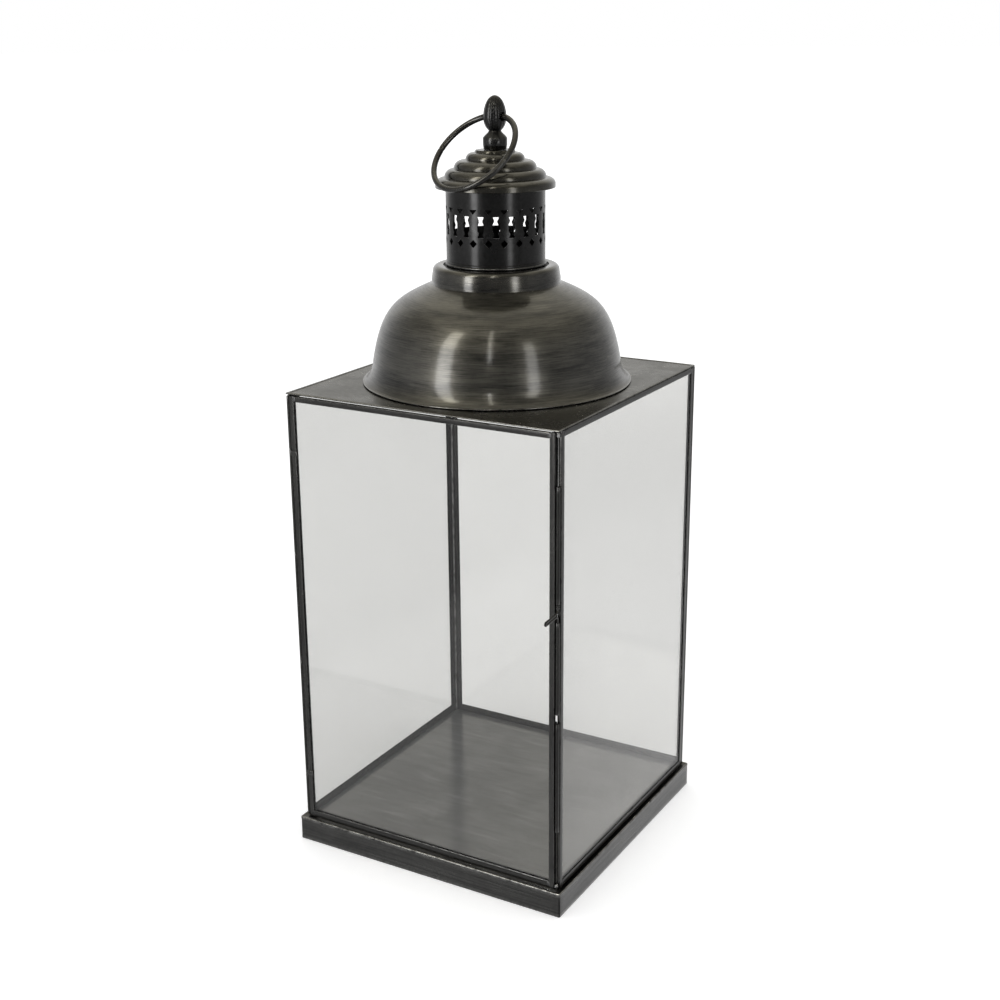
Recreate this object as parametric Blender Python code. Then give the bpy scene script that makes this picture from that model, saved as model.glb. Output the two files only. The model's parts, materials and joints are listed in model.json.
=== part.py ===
"""Square glazed candle lantern with a spun dome, a pierced chimney, a ribbed cap and a ring handle.

Metres, +Z up. The origin is the middle of the base's underside. The glazed door is the -Y side,
hinged at its -X edge; the wire catch turns at the door's +X edge.
"""

import math

import bmesh
import bpy
from mathutils import Matrix, Vector

# Driving dimensions
BODY = 0.280
BASE = 0.289
BASE_HEIGHT = 0.0241
PLATE_TOP = 0.4522
SHEET = 0.0010
GAP = 0.0003
LEDGE_OPENING = 0.116
FLOOR_SHEET = 0.0008

# Glazing channels: a folded U, its wide side facing out
CHANNEL_WIDTH = 0.0051
CHANNEL_DEPTH = 0.0034
CHANNEL_WALL = 0.0007
CORNER_NOTCH = 0.0042
BOTTOM_RAIL = 0.0064
GLASS = 0.0018
GLASS_IN_CHANNEL = 0.0030
DOOR_CLEARANCE = 0.0012

# Top plate, dome and chimney, heights counted from the plate's top
PLATE = 0.0014
PLATE_OPENING = 0.098
DOME_FLANGE = 0.1247
DOME_WALL = 0.1147
DOME_WALL_START = 0.020
COLLAR_RADIUS = 0.0590
COLLAR_FOOT = 0.0903
COLLAR_TOP = 0.1070
SEAT_RADIUS = 0.0482
SEAT_OPENING = 0.0410
SEAT_DROP = 0.0032
CHIMNEY_RADIUS = 0.0450
CHIMNEY_TOP = 0.1790
CHIMNEY_BEAD = 0.0012
PIERCINGS = 20
PIERCING_TURN = math.radians(12.8)
PIERCING_MIDDLE = 0.1450
CAP_FOOT = 0.1757
CAP_RADIUS = 0.0542
CAP_TOP = 0.2086

# Finial and ring handle
FINIAL_FOOT = CAP_TOP + GAP
FINIAL_TOP = 0.2556
ACORN_RADIUS = 0.0103
COLLET_RADIUS = 0.0109
RING_HOLE_HEIGHT = 0.2375
RING_HOLE = 0.0043
RING_RADIUS = 0.0417
RING_WIRE = 0.0028
RING_AXIS_TURN = math.radians(-14.2)
RING_LEAN = math.radians(46.0)
RING_SLIP = math.radians(2.7)
STUD_RADIUS = 0.0025
STUD_SOCKET = 0.0115
STUD_BELOW_CAP = 0.0090
WASHER_RADIUS = 0.0075
WASHER = 0.0012
NUT_RADIUS = 0.0058
NUT = 0.0045

# Door hinge and catch, set in the notches at the door's two edges
TUBE_INSET = 0.0021
TUBE_RADIUS = 0.0018
TUBE_BORE = 0.0013
PIN_RADIUS = 0.0010
POST_KNUCKLES = {"upper": (0.3996, 0.4490), "middle": (0.1900, 0.2984), "lower": (0.0260, 0.0694)}
DOOR_KNUCKLES = {"upper": (0.2990, 0.3990), "lower": (0.0700, 0.1894)}
PIN_ENDS = (0.0255, 0.4500)
STRAP_FEET = {"upper": 0.3940, "lower": 0.0705}
STRAP_OVERHANG = 0.0015
STRAP_HEIGHT = 0.0046
STRAP = 0.0008
CATCH_TUBES = {"upper": (0.2995, 0.4037), "middle": (0.1970, 0.2828), "lower": (0.0826, 0.1884)}
CATCH_COLLARS = {"upper": (0.2976, 0.2989), "lower": (0.2957, 0.2970)}
CATCH_WIRE_ENDS = (0.2500, 0.3400)
CATCH_REACH = 0.0225
CATCH_HEIGHT = 0.2902
CATCH_DROOP = 0.0010
CATCH_BEND = 0.0013
STOP_WIDTH = 0.0036
STOP_BREAK = (0.1890, 0.1965)
CUTTER_MARGIN = 0.010

HALF = BODY / 2
PLATE_UNDER = PLATE_TOP - PLATE
FRAME_BOTTOM = BASE_HEIGHT + GAP
FRAME_TOP = PLATE_UNDER - GAP
HINGE_AXIS = Vector((-HALF + TUBE_INSET, -HALF + TUBE_INSET, 0))
CATCH_AXIS = Vector((HALF - TUBE_INSET, -HALF + TUBE_INSET, 0))
RING_AXIS = Vector((0, 0, PLATE_TOP + RING_HOLE_HEIGHT))


def clear_scene():
    for obj in list(bpy.data.objects):
        bpy.data.objects.remove(obj, do_unlink=True)


def metal(name, color, roughness, metallic=1.0):
    material = bpy.data.materials.new(name)
    material.use_nodes = True
    shader = material.node_tree.nodes["Principled BSDF"]
    shader.inputs["Base Color"].default_value = (*color, 1)
    shader.inputs["Roughness"].default_value = roughness
    shader.inputs["Metallic"].default_value = metallic
    return material


def clear_glass(name):
    material = metal(name, (0.90, 0.92, 0.91), 0.04, 0.0)
    shader = material.node_tree.nodes["Principled BSDF"]
    shader.inputs["Transmission Weight"].default_value = 1.0
    shader.inputs["IOR"].default_value = 1.5
    return material


def place(name, shape, material, smooth_angle=None):
    """Turns a finished bmesh into a named object."""
    bmesh.ops.recalc_face_normals(shape, faces=shape.faces)
    mesh = bpy.data.meshes.new(name)
    shape.to_mesh(mesh)
    shape.free()
    mesh.materials.append(material)
    if smooth_angle is not None:
        mesh.shade_smooth()
        mesh.set_sharp_from_angle(angle=math.radians(smooth_angle))
    obj = bpy.data.objects.new(name, mesh)
    bpy.context.scene.collection.objects.link(obj)
    return obj


def prism(shape, outline, along):
    """Extrudes a flat outline, given as points in space, into a closed solid."""
    face = shape.faces.new([shape.verts.new(point) for point in outline])
    pushed = bmesh.ops.extrude_face_region(shape, geom=[face], use_keep_orig=True)
    moved = [item for item in pushed["geom"] if isinstance(item, bmesh.types.BMVert)]
    bmesh.ops.translate(shape, vec=along, verts=moved)


def box(name, low, high, material):
    shape = bmesh.new()
    corners = ((low[0], low[1]), (high[0], low[1]), (high[0], high[1]), (low[0], high[1]))
    prism(shape, [(x, y, low[2]) for x, y in corners], Vector((0, 0, high[2] - low[2])))
    return place(name, shape, material)


def turned(name, profile, material, steps, smooth_angle=30):
    """Spins a closed outline of (radius, height) points round the lantern's vertical axis."""
    shape = bmesh.new()
    verts = [shape.verts.new((radius, 0, height)) for radius, height in profile]
    edges = [shape.edges.new((verts[i - 1], verts[i])) for i in range(len(verts))]
    bmesh.ops.spin(
        shape, geom=verts + edges, cent=(0, 0, 0), axis=(0, 0, 1), angle=math.tau, steps=steps, use_merge=True
    )
    bmesh.ops.remove_doubles(shape, verts=shape.verts, dist=1e-6)
    return place(name, shape, material, smooth_angle)


def tube(name, axis, low, high, outer, bore, material, steps=16):
    profile = [(outer, high), (outer, low), (bore, low), (bore, high)]
    obj = turned(name, profile, material, steps)
    obj.location = (axis[0], axis[1], 0)
    return obj


def rod(name, axis, low, high, radius, material, sides=12):
    shape = bmesh.new()
    middle = Matrix.Translation((0, 0, (low + high) / 2))
    bmesh.ops.create_cone(
        shape, cap_ends=True, segments=sides, radius1=radius, radius2=radius, depth=high - low, matrix=middle
    )
    obj = place(name, shape, material, 30)
    obj.location = (axis[0], axis[1], 0)
    return obj


def wire(name, points, radius, material):
    """A round wire through the points, with closed ends."""
    curve = bpy.data.curves.new(name, "CURVE")
    curve.dimensions = "3D"
    curve.bevel_depth = radius
    curve.bevel_resolution = 2
    curve.use_fill_caps = True
    spline = curve.splines.new("POLY")
    spline.points.add(len(points) - 1)
    for target, point in zip(spline.points, points):
        target.co = (*point, 1)
    curve.materials.append(material)
    obj = bpy.data.objects.new(name, curve)
    bpy.context.scene.collection.objects.link(obj)
    return obj


def cut(obj, cutter):
    """Cuts a closed mesh out of an object and keeps the cutter as a hidden guide."""
    cutter.hide_render = True
    cutter.display_type = "WIRE"
    modifier = obj.modifiers.new("cut", "BOOLEAN")
    modifier.operation = "DIFFERENCE"
    modifier.solver = "EXACT"
    modifier.object = cutter


def pivot(name, location, pieces):
    """Hangs pieces from an empty that stands on their joint's axis."""
    empty = bpy.data.objects.new(name, None)
    empty.location = location
    bpy.context.scene.collection.objects.link(empty)
    bpy.context.view_layer.update()
    for piece in pieces:
        piece.parent = empty
        piece.matrix_parent_inverse = empty.matrix_world.inverted()


def arc(centre, radii, start, end, steps):
    """Points on an ellipse, angles in degrees from the outward direction."""
    angles = [math.radians(start + (end - start) * i / steps) for i in range(steps + 1)]
    return [(centre[0] + radii[0] * math.cos(a), centre[1] + radii[1] * math.sin(a)) for a in angles]


def bezier(ends, handles, steps):
    start, finish = (Vector(point) for point in ends)
    first, second = (Vector(point) for point in handles)
    points = []
    for i in range(steps + 1):
        t = i / steps
        u = 1 - t
        points.append(tuple(u**3 * start + 3 * t * u * u * first + 3 * t * t * u * second + t**3 * finish))
    return points


def inner_line(profile, thickness):
    """The same line moved inwards by the sheet's thickness, in reverse order."""
    points = [Vector(point) for point in profile]
    moved = []
    for i, point in enumerate(points):
        before = points[max(i - 1, 0)]
        after = points[min(i + 1, len(points) - 1)]
        sides = [(point - before).normalized(), (after - point).normalized()]
        normal = sum((Vector((-side.y, side.x)) for side in sides if side.length), Vector((0, 0)))
        normal.normalize()
        stretch = 1 / max(normal.dot(Vector((-sides[-1].y, sides[-1].x))), 0.6) if sides[-1].length else 1
        moved.append(tuple(point + normal * thickness * stretch))
    return moved[::-1]


def raised(profile):
    return [(radius, height + PLATE_TOP) for radius, height in profile]


def base(metal_skin, floor_skin):
    """A folded tray whose top edge turns in as a ledge, and the floor sheet that lies on the ledge."""
    out = BASE / 2
    shape = bmesh.new()
    rings = [
        (out, 0),
        (out, BASE_HEIGHT),
        (LEDGE_OPENING, BASE_HEIGHT),
        (LEDGE_OPENING, BASE_HEIGHT - SHEET),
        (out - SHEET, BASE_HEIGHT - SHEET),
        (out - SHEET, SHEET),
    ]
    square = ((-1, -1), (1, -1), (1, 1), (-1, 1))
    corners = [[shape.verts.new((x * r, y * r, z)) for x, y in square] for r, z in rings]
    for lower, upper in zip(corners, corners[1:]):
        for i in range(4):
            shape.faces.new((lower[i - 1], lower[i], upper[i], upper[i - 1]))
    shape.faces.new(corners[0])
    shape.faces.new(corners[-1])
    place("base_tray", shape, metal_skin)
    reach = HALF - CHANNEL_DEPTH - 2 * GAP
    floor_top = FRAME_BOTTOM + FLOOR_SHEET
    box("floor_plate", (-reach, -reach, FRAME_BOTTOM), (reach, reach, floor_top), floor_skin)


def channel(name, middle, face_out, opens, length, material, width=CHANNEL_WIDTH):
    """A straight folded U. middle is on its outer face, half way along; opens points at the glass."""
    outward = Vector(face_out)
    inward = Vector(opens)
    along = outward.cross(inward)
    slot = (CHANNEL_DEPTH - GLASS) / 2 - GAP
    section = [
        (-width / 2, 0),
        (width / 2, 0),
        (width / 2, slot),
        (-width / 2 + CHANNEL_WALL, slot),
        (-width / 2 + CHANNEL_WALL, CHANNEL_DEPTH - slot),
        (width / 2, CHANNEL_DEPTH - slot),
        (width / 2, CHANNEL_DEPTH),
        (-width / 2, CHANNEL_DEPTH),
    ]
    start = Vector(middle) - along * length / 2
    outline = [start + inward * across - outward * deep for across, deep in section]
    shape = bmesh.new()
    prism(shape, outline, along * length)
    return place(name, shape, material)


def glazed_side(name, face_out, bottom, top, skin, glass_skin, ends):
    """Four channels round a pane. ends holds each stile's name and its distance from the body's edge."""
    outward = Vector(face_out)
    upward = Vector((0, 0, 1))
    sideways = upward.cross(outward)
    face = outward * HALF
    pieces = []
    rail_ends = []
    for (word, inset), side in zip(ends, (-1, 1)):
        across = side * (HALF - inset - CHANNEL_WIDTH / 2)
        middle = face + sideways * across + upward * (bottom + top) / 2
        pieces.append(channel(f"{name}_{word}_stile", middle, outward, -side * sideways, top - bottom, skin))
        rail_ends.append(across - side * (CHANNEL_WIDTH / 2 + GAP))
    rail = rail_ends[1] - rail_ends[0]
    centre = face + sideways * sum(rail_ends) / 2
    low = centre + upward * (bottom + BOTTOM_RAIL / 2)
    high = centre + upward * (top - CHANNEL_WIDTH / 2)
    pieces.append(channel(f"{name}_bottom_rail", low, outward, upward, rail, skin, BOTTOM_RAIL))
    pieces.append(channel(f"{name}_top_rail", high, outward, -upward, rail, skin))
    half_pane = rail / 2 + GLASS_IN_CHANNEL
    pane_low = bottom + BOTTOM_RAIL - GLASS_IN_CHANNEL
    pane_high = top - CHANNEL_WIDTH + GLASS_IN_CHANNEL
    pane_back = centre - outward * (CHANNEL_DEPTH + GLASS) / 2
    corner = pane_back - sideways * half_pane + upward * pane_low
    outline = [corner, corner + 2 * half_pane * sideways]
    outline += [point + outward * GLASS for point in reversed(outline)]
    shape = bmesh.new()
    prism(shape, outline, upward * (pane_high - pane_low))
    pieces.append(place(f"{name}_glass", shape, glass_skin))
    return pieces


def fixed_sides(skin, glass_skin):
    """The left, back and right sides. The back closes the right rear corner; the other corners are notched."""
    notch = CORNER_NOTCH
    butted = CHANNEL_DEPTH + GAP
    sides = (
        ("left", (-1, 0, 0), (("rear", notch), ("front", notch))),
        ("back", (0, 1, 0), (("right", 0), ("left", notch))),
        ("right", (1, 0, 0), (("front", notch), ("rear", butted))),
    )
    for name, face_out, ends in sides:
        glazed_side(name, face_out, FRAME_BOTTOM, FRAME_TOP, skin, glass_skin, ends)


def door(skin, glass_skin):
    """The hinged side, with the hinge tubes and straps that turn with it."""
    bottom = BASE_HEIGHT + DOOR_CLEARANCE
    top = PLATE_UNDER - DOOR_CLEARANCE
    ends = (("hinge", CORNER_NOTCH), ("latch", CORNER_NOTCH))
    pieces = glazed_side("door", (0, -1, 0), bottom, top, skin, glass_skin, ends)
    for word, (low, high) in DOOR_KNUCKLES.items():
        pieces.append(tube(f"door_knuckle_{word}", HINGE_AXIS, low, high, TUBE_RADIUS, TUBE_BORE, skin))
        pieces.append(hinge_strap(f"hinge_strap_{word}", STRAP_FEET[word], skin))
    pivot("door_axis", HINGE_AXIS, pieces)


def hinge_strap(name, low, skin):
    """A thin strip soldered across the hinge stile's face."""
    left = -HALF + CORNER_NOTCH
    right = left + CHANNEL_WIDTH + STRAP_OVERHANG
    face = -HALF - GAP
    return box(name, (left, face - STRAP, low), (right, face, low + STRAP_HEIGHT), skin)


def hinge_post(skin, steel):
    for word, (low, high) in POST_KNUCKLES.items():
        tube(f"post_knuckle_{word}", HINGE_AXIS, low, high, TUBE_RADIUS, TUBE_BORE, skin)
    rod("hinge_pin", HINGE_AXIS, *PIN_ENDS, PIN_RADIUS, steel)


def catch(skin, steel):
    """Three tubes soldered in the latch corner, and the bent wire that turns in the upper two."""
    for word, (low, high) in CATCH_TUBES.items():
        tube(f"catch_tube_{word}", CATCH_AXIS, low, high, TUBE_RADIUS, TUBE_BORE, skin)
    collars = [
        tube(f"catch_collar_{word}", CATCH_AXIS, low, high, TUBE_RADIUS, TUBE_BORE, steel)
        for word, (low, high) in CATCH_COLLARS.items()
    ]
    bend = CATCH_BEND
    upper = CATCH_HEIGHT + bend
    lower = CATCH_HEIGHT - bend
    line = [(0, CATCH_WIRE_ENDS[1]), (0, upper + 0.0036)]
    line += bezier(((0, upper + 0.0030), (0.0066, upper)), ((0.0002, upper + 0.0010), (0.0036, upper)), 6)
    line += [(CATCH_REACH - bend + x, CATCH_HEIGHT + z) for x, z in arc((0, 0), (bend, bend), 90, -90, 6)]
    line += bezier(((0.0052, lower), (0, lower - 0.0052)), ((0.0016, lower + 0.0004), (0.0001, lower - 0.0010)), 6)
    line += [(0, CATCH_WIRE_ENDS[0])]
    droop = CATCH_DROOP / CATCH_REACH
    points = [(CATCH_AXIS.x, CATCH_AXIS.y - out, height - droop * out) for out, height in line]
    loop = wire("catch_wire", points, PIN_RADIUS, steel)
    pivot("catch_axis", CATCH_AXIS + Vector((0, 0, CATCH_HEIGHT)), [loop] + collars)


def door_stops(skin):
    """Two strips behind the latch corner that the door closes against."""
    front = -HALF + CORNER_NOTCH
    left = HALF - CORNER_NOTCH - STOP_WIDTH
    right = HALF - CHANNEL_DEPTH - GAP
    low = FRAME_BOTTOM + SHEET + GAP
    box("door_stop_upper", (left, front, STOP_BREAK[1]), (right, front + SHEET, FRAME_TOP), skin)
    box("door_stop_lower", (left, front, low), (right, front + SHEET, STOP_BREAK[0]), skin)


def top_plate(skin):
    plate = box("top_plate", (-HALF, -HALF, PLATE_UNDER), (HALF, HALF, PLATE_TOP), skin)
    low = PLATE_UNDER - CUTTER_MARGIN
    high = PLATE_TOP + CUTTER_MARGIN
    cut(plate, rod("plate_opening_cutter", (0, 0), low, high, PLATE_OPENING, skin, 64))


def dome(skin):
    """One spun sheet: a flat flange, a bell, and a collar whose top drops to a seat for the chimney."""
    flare = bezier(
        ((DOME_FLANGE - 0.0012, SHEET + GAP), (DOME_WALL, DOME_WALL_START)),
        ((0.1202, 0.0026), (0.1150, 0.0110)),
        4,
    )
    shoulder = bezier(
        ((DOME_WALL, DOME_WALL_START), (COLLAR_RADIUS, COLLAR_FOOT)),
        ((0.1060, 0.0699), (0.0930, 0.0753)),
        8,
    )
    roll = arc((COLLAR_RADIUS - 0.0062, COLLAR_TOP - 0.0050), (0.0050, 0.0050), 0, 90, 3)
    outside = [(DOME_FLANGE, GAP), (DOME_FLANGE, SHEET + GAP)] + flare[1:] + shoulder[1:] + roll
    seat = COLLAR_TOP - SEAT_DROP
    outside += [(SEAT_RADIUS, COLLAR_TOP), (SEAT_RADIUS, seat), (SEAT_OPENING, seat)]
    inside = inner_line(outside[2:], SHEET)
    foot = [(DOME_WALL + 0.0030, GAP)]
    turned("dome", raised(outside + inside[:-1] + foot), skin, 48)


def piercing_outlines():
    """The three shapes cut in each pitch of the gallery, as (across, up) outlines in metres."""
    right = [(0.0031, 0.0093), (0.0016, 0.0058), (0.0032, 0.0029)]
    right += [(across, -up) for across, up in reversed(right)]
    slot = [(across, PIERCING_MIDDLE + up) for across, up in right]
    slot += [(-across, up) for across, up in reversed(slot)]
    triangle = [(-0.0038, 0.1603), (0, 0.1559), (0.0038, 0.1603)]
    diamond = [(0, 0.1344), (-0.0035, 0.1306), (0, 0.1268), (0.0035, 0.1306)]
    return slot, triangle, diamond


def chimney(skin):
    """A tube with a bead at its foot, pierced all round."""
    inner = CHIMNEY_RADIUS - SHEET
    foot = COLLAR_TOP - SEAT_DROP + GAP
    bead = arc((CHIMNEY_RADIUS, COLLAR_TOP + CHIMNEY_BEAD), (CHIMNEY_BEAD, CHIMNEY_BEAD), 90, -90, 2)
    profile = [(CHIMNEY_RADIUS, CHIMNEY_TOP)] + bead + [(CHIMNEY_RADIUS, foot), (inner, foot), (inner, CHIMNEY_TOP)]
    shell = turned("chimney", raised(profile), skin, 3 * PIERCINGS)
    slot, triangle, diamond = piercing_outlines()
    shape = bmesh.new()
    pitch = math.tau / PIERCINGS
    for i in range(PIERCINGS):
        for outline, turn in ((slot, i), (triangle, i + 0.5), (diamond, i + 0.5)):
            angle = PIERCING_TURN + turn * pitch
            out = Vector((math.cos(angle), math.sin(angle), 0))
            side = Vector((-out.y, out.x, 0))
            start = out * (inner - CUTTER_MARGIN)
            points = [start + side * across + Vector((0, 0, up + PLATE_TOP)) for across, up in outline]
            prism(shape, points, out * (SHEET + 2 * CUTTER_MARGIN))
    cut(shell, place("piercing_cutter", shape, skin))


def cap(skin):
    """A spun, ribbed lid: each tier is a quarter of an ellipse."""
    tiers = [
        ((0.0470, 0.1790), (CAP_RADIUS, 0.1845)),
        ((0.0388, 0.1850), (0.0458, 0.1921)),
        ((0.0303, 0.1926), (0.0372, 0.1996)),
        ((0.0206, 0.2005), (0.0265, 0.2062)),
    ]
    outside = [(CAP_RADIUS, CAP_FOOT)]
    for (inner, low), (outer, high) in tiers:
        outside += arc((inner, low), (outer - inner, high - low), 0, 90, 3)
    outside += [(0.0183, 0.2066), (0.0176, CAP_TOP), (STUD_RADIUS + GAP, CAP_TOP)]
    under = [(CHIMNEY_RADIUS + GAP, CAP_FOOT), (CHIMNEY_RADIUS + GAP, CAP_FOOT + SHEET)]
    inside = inner_line(outside[1:], SHEET)
    inside[-1] = (CAP_RADIUS - SHEET, CAP_FOOT + SHEET)
    turned("chimney_cap", raised(under[:1] + outside + inside + under[1:]), skin, 36)


def finial(skin, steel):
    """A turned acorn on a collar, cross-drilled for the ring and held by a stud and nut through the cap."""
    middle = 0.2366
    below_middle = 0.0135
    neck_radius = 0.0060
    neck = 0.2252
    bore = STUD_RADIUS + GAP
    profile = [(bore, FINIAL_FOOT), (0.0102, FINIAL_FOOT), (COLLET_RADIUS, 0.2122), (COLLET_RADIUS, 0.2192)]
    profile += [(0.0090, 0.2212), (neck_radius, 0.2240), (neck_radius, neck)]
    start = math.degrees(math.asin((neck - middle) / below_middle))
    lower = arc((0, middle), (ACORN_RADIUS, below_middle), start, 0, 5)
    upper = arc((0, middle), (ACORN_RADIUS, FINIAL_TOP - middle), 0, 90, 6)
    profile += lower + upper[1:-1] + [(0, FINIAL_TOP)]
    profile += [(0, FINIAL_FOOT + STUD_SOCKET), (bore, FINIAL_FOOT + STUD_SOCKET)]
    knob = turned("finial", raised(profile), skin, 24)
    shape = bmesh.new()
    across = Matrix.Rotation(RING_AXIS_TURN, 4, "Z") @ Matrix.Rotation(math.pi / 2, 4, "Y")
    bmesh.ops.create_cone(
        shape,
        cap_ends=True,
        segments=20,
        radius1=RING_HOLE,
        radius2=RING_HOLE,
        depth=2 * (ACORN_RADIUS + CUTTER_MARGIN),
        matrix=Matrix.Translation(RING_AXIS) @ across,
    )
    cut(knob, place("ring_hole_cutter", shape, skin))
    fixings(steel)


def fixings(steel):
    """The stud in the finial's socket, and the washer and nut that draw it down from under the cap."""
    top = PLATE_TOP + FINIAL_FOOT + STUD_SOCKET - GAP
    under_cap = PLATE_TOP + CAP_TOP - SHEET - GAP
    bore = STUD_RADIUS + GAP
    rod("finial_stud", (0, 0), under_cap - STUD_BELOW_CAP, top, STUD_RADIUS, steel)
    tube("finial_washer", (0, 0), under_cap - WASHER, under_cap, WASHER_RADIUS, bore, steel)
    nut_top = under_cap - WASHER - GAP
    nut = rod("finial_nut", (0, 0), nut_top - NUT, nut_top, NUT_RADIUS, steel, 6)
    cut(nut, rod("nut_bore_cutter", (0, 0), nut_top - CUTTER_MARGIN, nut_top + CUTTER_MARGIN, bore, steel))


def ring_handle(steel):
    """A closed wire ring through the finial, slipped a little sideways, that leans forward onto the cap's rim."""
    shape = bmesh.new()
    sides = 10
    verts = [
        shape.verts.new((RING_RADIUS + RING_WIRE * math.cos(a), 0, RING_WIRE * math.sin(a)))
        for a in (math.tau * i / sides for i in range(sides))
    ]
    edges = [shape.edges.new((verts[i - 1], verts[i])) for i in range(sides)]
    bmesh.ops.spin(
        shape, geom=verts + edges, cent=(0, 0, 0), axis=(0, 0, 1), angle=math.tau, steps=48, use_merge=True
    )
    bmesh.ops.remove_doubles(shape, verts=shape.verts, dist=1e-6)
    # The curved wire's rise and fall inside the hole is shared equally either side of the hole's axis.
    sag = RING_RADIUS - math.sqrt(RING_RADIUS**2 - ACORN_RADIUS**2)
    skew = ACORN_RADIUS * math.sin(RING_SLIP)
    shift = Matrix.Translation((0, -(RING_RADIUS - (sag + skew) / 2), 0))
    slip = Matrix.Rotation(RING_SLIP, 4, "Z")
    lean = Matrix.Rotation(RING_LEAN, 4, "X")
    turn = Matrix.Rotation(RING_AXIS_TURN, 4, "Z")
    bmesh.ops.transform(shape, matrix=Matrix.Translation(RING_AXIS) @ turn @ lean @ slip @ shift, verts=shape.verts)
    pivot("ring_axis", RING_AXIS, [place("ring_handle", shape, steel, 60)])


def build():
    clear_scene()
    pewter = metal("aged_pewter", (0.125, 0.120, 0.108), 0.38)
    spun = metal("brushed_pewter", (0.150, 0.142, 0.125), 0.34)
    dark = metal("blackened_steel", (0.055, 0.054, 0.055), 0.36)
    worn = metal("worn_floor_sheet", (0.210, 0.210, 0.205), 0.42)
    glass = clear_glass("clear_glass")
    base(pewter, worn)
    fixed_sides(pewter, glass)
    door(pewter, glass)
    hinge_post(pewter, dark)
    catch(pewter, dark)
    door_stops(pewter)
    top_plate(pewter)
    dome(spun)
    chimney(dark)
    cap(spun)
    finial(dark, dark)
    ring_handle(dark)


build()
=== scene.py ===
"""Looks of a square candle lantern: aged pewter sheet, spun metal, clear panes and a blackened finial.

Each CAD piece is stood for by a finer one in the same place. Metres, +Z up, the door is the -Y side.
"""

import json
import math

import bmesh
import bpy
import numpy as np
from mathutils import Matrix, Vector, noise


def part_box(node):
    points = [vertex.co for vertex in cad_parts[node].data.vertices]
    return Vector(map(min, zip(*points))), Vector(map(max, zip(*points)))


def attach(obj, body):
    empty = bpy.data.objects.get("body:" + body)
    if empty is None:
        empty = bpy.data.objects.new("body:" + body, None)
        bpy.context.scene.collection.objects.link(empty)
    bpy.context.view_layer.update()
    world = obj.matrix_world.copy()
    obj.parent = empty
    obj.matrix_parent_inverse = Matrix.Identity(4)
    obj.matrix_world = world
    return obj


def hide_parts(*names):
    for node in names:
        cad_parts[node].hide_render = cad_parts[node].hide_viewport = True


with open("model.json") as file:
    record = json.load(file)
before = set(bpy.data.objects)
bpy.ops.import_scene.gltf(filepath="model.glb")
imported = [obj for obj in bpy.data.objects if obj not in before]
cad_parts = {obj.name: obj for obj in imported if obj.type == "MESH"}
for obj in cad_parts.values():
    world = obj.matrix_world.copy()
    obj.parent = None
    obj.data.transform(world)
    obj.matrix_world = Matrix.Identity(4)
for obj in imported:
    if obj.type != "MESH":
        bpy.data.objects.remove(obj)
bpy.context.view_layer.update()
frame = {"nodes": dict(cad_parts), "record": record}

RECORD = frame["record"]
BODY_OF = {node: body for body, nodes in RECORD["behaviour"]["bodies"].items() for node in nodes}
JOINTS = {joint["name"]: joint for joint in RECORD["behaviour"]["joints"]}
AXIS_OF = {name: Vector(joint["pos_m"]) for name, joint in JOINTS.items()}
RING_LINE = Vector(JOINTS["ring_swing"]["axis"])

UP = Vector((0, 0, 1))
OUTWARD = {
    "left": Vector((-1, 0, 0)),
    "back": Vector((0, 1, 0)),
    "right": Vector((1, 0, 0)),
    "door": Vector((0, -1, 0)),
}


def low_of(node):
    return Vector(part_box(node)[0])


def high_of(node):
    return Vector(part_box(node)[1])


# Sizes read from the frame
HALF = high_of("top_plate").x
BASE_HALF = high_of("base_tray").x
BASE_HEIGHT = high_of("base_tray").z
PLATE_TOP = high_of("top_plate").z
PLATE_UNDER = low_of("top_plate").z
PANE = high_of("left_glass").x - low_of("left_glass").x
DOME_FLANGE = high_of("dome").x
COLLAR_TOP = high_of("dome").z - PLATE_TOP
CHIMNEY_FOOT = low_of("chimney").z - PLATE_TOP
CHIMNEY_TOP = high_of("chimney").z - PLATE_TOP
CAP_FOOT = low_of("chimney_cap").z - PLATE_TOP
CAP_RADIUS = high_of("chimney_cap").x
CAP_TOP = high_of("chimney_cap").z - PLATE_TOP
FINIAL_FOOT = low_of("finial").z - PLATE_TOP
FINIAL_TOP = high_of("finial").z - PLATE_TOP

# Sheet metal
SHEET = 0.0010
GAP = 0.0003
CHANNEL_WALL = 0.0007
CORNER_NOTCH = 0.0042
LEDGE = 0.0285
PLATE_OPENING = 0.098

# Beads, hems and folds
LEDGE_SUNK = 0.0005
TRAY_BEAD = 0.0010
SKIRT_PRESS = 0.0002
SEAM_DEPTH = 0.0006
HEM = 0.0032
HEM_STEP = 0.00035
CROWN = 0.00012
FOLD_RADIUS = 0.0006
END_TUCK = 0.0002

# Spun and turned pieces, heights counted from the plate's top
DOME_WALL = 0.1147
DOME_WALL_START = 0.020
COLLAR_RADIUS = 0.0590
COLLAR_FOOT = 0.0903
COLLAR_ROLL = 0.0050
NECK_STEP = 0.00234
SEAT_RADIUS = 0.0482
SEAT_OPENING = 0.0410
SEAT_DROP = 0.0032
CHIMNEY_RADIUS = 0.0450
CHIMNEY_BEAD = 0.0012
PIERCINGS = 20
PIERCING_TURN = math.radians(12.8)
PIERCING_MIDDLE = 0.1450
GALLERY_TOP = 0.1650
GALLERY_FOOT = 0.1240
CUTTER_REACH = 0.02
ACORN_RADIUS = 0.0103
ACORN_MIDDLE = 0.2366
ACORN_BELOW = 0.0135
ACORN_NECK = 0.2252
HOLLOW_ROWS = 18
HOLLOW_PITCH = 4.4
HOLLOW_DEPTH = 0.00028
COLLET_RADIUS = 0.0109
STUD_HOLE = 0.0028
STUD_SOCKET = 0.0115
RING_HOLE = 0.0039
TUBE_BORE = 0.0013
CATCH_BEND = 0.0013
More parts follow.
